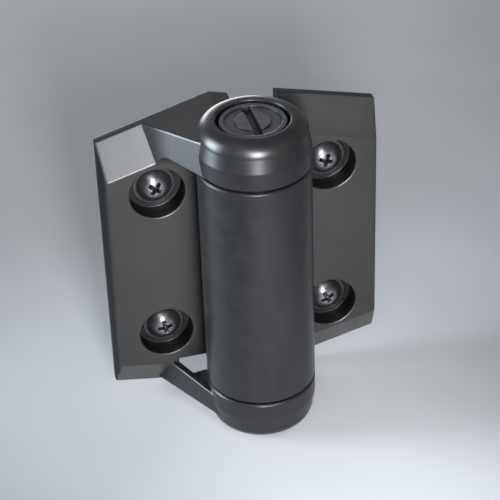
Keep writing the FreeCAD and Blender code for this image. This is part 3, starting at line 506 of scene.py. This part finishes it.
# %% Screw profile
HEAD_TOP, FLANGE_TOP, SEAT = -6.1 * MM, -3.5 * MM, -2.5 * MM
HEAD_RADIUS, HEAD_EDGE, DOME_RADIUS = 4.6 * MM, 0.5 * MM, 6.4 * MM
FLANGE_RADIUS, NECK_RADIUS = 5.8 * MM, 2.1 * MM
THREAD_RADIUS, ROOT_RADIUS, THREAD_LENGTH, PITCH = 2.75 * MM, 2.05 * MM, 16.0 * MM, 1.8 * MM
TIP_RADIUS, TIP_START, TIP_END = 1.6 * MM, 17.15 * MM, 22.15 * MM
RIM = 0.18 * MM           # softened corners
DOME_STEPS, ROWS_PER_TURN = 10, 12
RIDGE_SHARPNESS, LAST_RIDGE = 1.5, 0.25


def thread_radius(height, turn):
    """Radius of the thread at a height; turn is the angle as a share of a full circle."""
    ridge = 1.0 - abs(2.0 * ((height / PITCH - turn) % 1.0) - 1.0)
    fade = min(1.0, height / PITCH, (THREAD_LENGTH - height) / PITCH + LAST_RIDGE)
    return ROOT_RADIUS + (THREAD_RADIUS - ROOT_RADIUS) * max(0.0, fade) * ridge ** RIDGE_SHARPNESS


def dome_height(out):
    """Height of the head's dome at a distance from the screw's axis."""
    edge_fall = 1.0 - math.sqrt(1.0 - (HEAD_RADIUS / DOME_RADIUS) ** 2)
    fall = 1.0 - math.sqrt(1.0 - (out / DOME_RADIUS) ** 2)
    return HEAD_TOP + (FLANGE_TOP - HEAD_EDGE - HEAD_TOP) * fall / edge_fall


def screw_rings():
    """The screw's rings from its head to its tip, as (height, radius); a thread ring has no radius."""
    dome = [HEAD_RADIUS * step / DOME_STEPS for step in range(1, DOME_STEPS + 1)]
    rings = [(dome_height(out), out) for out in dome]
    rings += [(FLANGE_TOP - RIM, HEAD_RADIUS), (FLANGE_TOP, HEAD_RADIUS + RIM)]
    rings += [(FLANGE_TOP, FLANGE_RADIUS - RIM), (FLANGE_TOP + RIM, FLANGE_RADIUS)]
    rings += [(SEAT, FLANGE_RADIUS), (SEAT, NECK_RADIUS), (0.0, NECK_RADIUS)]
    rows = round(THREAD_LENGTH / PITCH * ROWS_PER_TURN)
    rings += [(THREAD_LENGTH * row / rows, None) for row in range(rows + 1)]
    rings += [(TIP_START, TIP_RADIUS), (TIP_END - TIP_RADIUS, TIP_RADIUS), (TIP_END - RIM, RIM)]
    return rings


print("screw profile:", len(screw_rings()), "rings")

# %% [markdown]
# Rings become a mesh when each one is joined to the next by a belt of four-sided faces. A point at each end
# closes the screw, so that a cut can be made in it later.

# %% Screw blank
SCREW_STEPS = 40          # points round a screw


def join_loops(shape, loops):
    """A belt of faces between each loop of points and the next."""
    for upper, lower in zip(loops, loops[1:]):
        count = len(upper)
        for step in range(count):
            after = (step + 1) % count
            shape.faces.new((upper[step], lower[step], lower[after], upper[after]))


def mesh_of(shape, name):
    """Turn a working shape into a mesh, and let the shape go."""
    mesh = bpy.data.meshes.new(name)
    shape.to_mesh(mesh)
    shape.free()
    return mesh


def screw_mesh(name):
    """A threaded screw along its own Z, head first, without its recess."""
    shape = bmesh.new()
    loops = []
    for height, radius in screw_rings():
        loop = []
        for step in range(SCREW_STEPS):
            turn = step / SCREW_STEPS
            out = thread_radius(height, turn) if radius is None else radius
            angle = 2.0 * math.pi * turn
            loop.append(shape.verts.new((out * math.cos(angle), out * math.sin(angle), height)))
        loops.append(loop)
    join_loops(shape, loops)
    crown = shape.verts.new((0.0, 0.0, HEAD_TOP))
    point = shape.verts.new((0.0, 0.0, TIP_END))
    for step in range(SCREW_STEPS):
        after = (step + 1) % SCREW_STEPS
        shape.faces.new((crown, loops[0][step], loops[0][after]))
        shape.faces.new((point, loops[-1][after], loops[-1][step]))
    bmesh.ops.recalc_face_normals(shape, faces=shape.faces)
    return mesh_of(shape, name)


screw_blank = screw_mesh("screw_blank")
print("screw blank:", len(screw_blank.polygons), "faces")

# %% [markdown]
# The recess is pressed into the head by a tapered cross punch, so we make that punch and subtract it with a
# Boolean modifier. Modelling the recess face by face would fight with the dome's rings; the exact
# solver cuts through them cleanly.

# %% Cross recess
DRIVE_LENGTH, DRIVE_WIDTH, DRIVE_DEPTH = 4.4 * MM, 1.2 * MM, 1.9 * MM
STRAIGHT_SHARE, FLOOR_SHARE = 0.15, 0.55
QUARTER_TURNS = ((1, 0), (0, 1), (-1, 0), (0, -1))


def cross_punch(name):
    """A cross that stands through the head's top and narrows to the recess's floor."""
    end, half = DRIVE_LENGTH / 2, DRIVE_WIDTH / 2
    quarter = [(end, -half), (end, half), (half, half)]
    outline = []
    for c, s in QUARTER_TURNS:
        outline += [(x * c - y * s, x * s + y * c) for x, y in quarter]
    levels = (
        (HEAD_TOP - DRIVE_DEPTH, 1.0),
        (HEAD_TOP + STRAIGHT_SHARE * DRIVE_DEPTH, 1.0),
        (HEAD_TOP + DRIVE_DEPTH, FLOOR_SHARE),
    )
    shape = bmesh.new()
    loops = [[shape.verts.new((x * k, y * k, z)) for x, y in outline] for z, k in levels]
    join_loops(shape, loops)
    shape.faces.new(list(reversed(loops[0])))
    shape.faces.new(loops[-1])
    bmesh.ops.recalc_face_normals(shape, faces=shape.faces)
    return mesh_of(shape, name)


def punched(blank_mesh):
    """A copy of a screw with its recess cut."""
    blank = bpy.data.objects.new("screw_blank", blank_mesh)
    punch = bpy.data.objects.new("cross_punch", cross_punch("cross_punch"))
    for obj in (blank, punch):
        bpy.context.scene.collection.objects.link(obj)
    cut = blank.modifiers.new("recess", "BOOLEAN")
    cut.operation = "DIFFERENCE"
    cut.solver = "EXACT"
    cut.object = punch
    depsgraph = bpy.context.evaluated_depsgraph_get()
    mesh = bpy.data.meshes.new_from_object(blank.evaluated_get(depsgraph))
    for obj in (blank, punch):
        bpy.data.objects.remove(obj)
    return mesh


screw = punched(screw_blank)
print("screw:", len(screw.polygons), "faces")

# %% [markdown]
# The driver wears the coating most beside the recess and not at all on the rim. We store that as a number
# on each point of the mesh. Painting a mask would need an image, and a distance is all it takes.

# %% Driver wear
WEAR_FULL, WEAR_END = 1.5 * MM, 3.0 * MM


def mark_driver_wear(mesh):
    """Store how far the driver has worn the coating; the recess itself isn't worn."""
    wear = mesh.attributes.new(DRIVER_WEAR, "FLOAT", "POINT")
    for vertex, value in zip(mesh.vertices, wear.data):
        out = vertex.co.xy.length
        on_dome = out < HEAD_RADIUS and vertex.co.z < dome_height(out) + RIM
        share = (WEAR_END - out) / (WEAR_END - WEAR_FULL)
        value.value = min(1.0, max(0.0, share)) if on_dome else 0.0


mark_driver_wear(screw)
print("driver wear ends", round(WEAR_END / MM, 1), "mm from the middle")

# %% [markdown]
# Each leaf has two screws, at the same places as their solids. The middle of a pair's box gives the line
# of its screws, and the box's height gives their spacing, so no place is typed in twice. Every screw is
# turned by another angle, because nobody stops four screws in line.

# %% Screws in place
SCREW_TURNS = {"post_leaf_screws": (17.0, 64.0), "gate_leaf_screws": (38.0, 81.0)}
SHARP_FROM = math.radians(38.0)


def smooth_piece(name, shape, finish):
    """A piece in the scene, smooth except at sharp edges, in one finish."""
    mesh = mesh_of(shape, name)
    mesh.shade_smooth()
    mesh.set_sharp_from_angle(angle=SHARP_FROM)
    mesh.materials.clear()
    mesh.materials.append(finish)
    piece = bpy.data.objects.new(name, mesh)
    bpy.context.scene.collection.objects.link(piece)
    print(name, len(mesh.polygons), "faces")
    return piece


def place_screws(node, body):
    """Two screws that stand for a leaf's pair of solids."""
    low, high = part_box(node)
    across = (low[0] + high[0]) / 2
    rise = (high[2] - low[2]) / 2 - FLANGE_RADIUS
    lie_down = Matrix.Rotation(math.radians(-90.0), 4, "X")
    pair = bmesh.new()
    for side, turn in zip((1, -1), SCREW_TURNS[node]):
        one = screw.copy()
        spin = Matrix.Rotation(math.radians(turn), 4, "Z")
        one.transform(Matrix.Translation((across, 0.0, side * rise)) @ lie_down @ spin)
        pair.from_mesh(one)
    piece = smooth_piece(f"{node}_threaded", pair, screw_coating)
    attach(piece, body)
    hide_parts(node)


place_screws("post_leaf_screws", "post_leaf")
place_screws("gate_leaf_screws", "gate_leaf")

# %% [markdown]
# Two springs are wound inside the hinge, and a spring is the one piece that changes shape as it works. The
# dial's return spring is squeezed when the dial is pressed. Here its wire is copied into a piece of its
# own, which moves with the spring arbor and keeps a mesh of its own.

# %% Return spring
WELD = 0.002 * MM         # joins the points that a solid repeats along its edges


def copied_wire(node):
    """A welded copy of a spring's solid, open to changes."""
    wire = bmesh.new()
    wire.from_mesh(frame["nodes"][node].data)
    bmesh.ops.remove_doubles(wire, verts=wire.verts, dist=WELD)
    return wire


def spring_piece(name, wire, node):
    """A piece made of spring wire that stands for a solid."""
    piece = smooth_piece(name, wire, spring_steel)
    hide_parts(node)
    return piece


return_spring = spring_piece("return_spring_wire", copied_wire("dial_return_spring"), "dial_return_spring")
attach(return_spring, "spring_arbor")
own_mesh(return_spring)

# %% [markdown]
# The closing spring has its foot in the post leaf and its head in the arbor, which turns in the gate leaf. So
# two joints twist it. Here the wire is cut at half height into a lower and an upper piece, each closed where
# it was cut. A tall face would cut across the bore as the wire twists, so the wire's faces are split into
# thin layers first.

# %% Closing spring
SPRING_END = 6.2 * MM     # a straight tang and the thickness of the wire it grows from
SPRING_LAYER = 0.5 * MM   # the wire's faces are split this finely, so that they can twist
UPWARDS = (0.0, 0.0, 1.0)


def sliced(wire, height, clear_below=False, clear_above=False):
    """Cut a wire level at a height, clear one side if asked, and give the new edges."""
    everything = wire.verts[:] + wire.edges[:] + wire.faces[:]
    cut = bmesh.ops.bisect_plane(
        wire, geom=everything, plane_co=(0.0, 0.0, height), plane_no=UPWARDS,
        clear_inner=clear_below, clear_outer=clear_above)
    return [part for part in cut["geom_cut"] if isinstance(part, bmesh.types.BMEdge)]


def half_wire(low, high, upper):
    """The closing spring's upper or lower half, closed where it was cut and split into layers."""
    wire = copied_wire("torsion_spring")
    rim = sliced(wire, low, clear_below=True) if upper else sliced(wire, high, clear_above=True)
    bmesh.ops.triangle_fill(wire, edges=rim, use_beauty=True)
    bmesh.ops.recalc_face_normals(wire, faces=wire.faces)
    count = round((high - low) / SPRING_LAYER)
    for layer in range(1, count):
        sliced(wire, low + (high - low) * layer / count)
    return wire


closing_low, closing_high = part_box("torsion_spring")
closing_foot, closing_head = closing_low[2] + SPRING_END, closing_high[2] - SPRING_END
closing_middle = (closing_foot + closing_head) / 2
lower_wire = half_wire(closing_foot, closing_middle, upper=False)
lower_half = spring_piece("closing_spring_lower", lower_wire, "torsion_spring")
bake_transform(lower_half)
upper_wire = half_wire(closing_middle, closing_head, upper=True)
upper_half = spring_piece("closing_spring_upper", upper_wire, "torsion_spring")
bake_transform(upper_half)

# %% [markdown]
# The floor is a pale sheet under the hinge, wide enough to fill the view. It only has to catch the
# shadow, so a plane with a faint unevenness is enough.

# %% Floor
FLOOR_DROP, FLOOR_HALF, FLOOR_CELLS = 0.2 * MM, 3.0, 8
PAPER_DARK, PAPER_PALE = (0.43, 0.435, 0.445), (0.46, 0.465, 0.475)
PAPER_GRAIN, PAPER_ROUGHNESS = 50.0 * MM, 0.9

paper, paper_tree, paper_shader = new_finish("paper")
paper_noise = noise(paper_tree, object_place(paper_tree), PAPER_GRAIN, 3.0)
paper_tone = ramp(paper_tree, paper_noise, [(0.3, PAPER_DARK), (0.7, PAPER_PALE)])
paper_tree.links.new(paper_tone, paper_shader.inputs["Base Color"])
paper_shader.inputs["Roughness"].default_value = PAPER_ROUGHNESS
sheet = bmesh.new()
bmesh.ops.create_grid(sheet, x_segments=FLOOR_CELLS, y_segments=FLOOR_CELLS, size=FLOOR_HALF)
floor = bpy.data.objects.new("floor", mesh_of(sheet, "floor"))
floor.data.materials.append(paper)
floor.location.z = solid_box[0][2] - FLOOR_DROP
bpy.context.scene.collection.objects.link(floor)
print("floor at", round(floor.location.z / MM, 1), "mm")
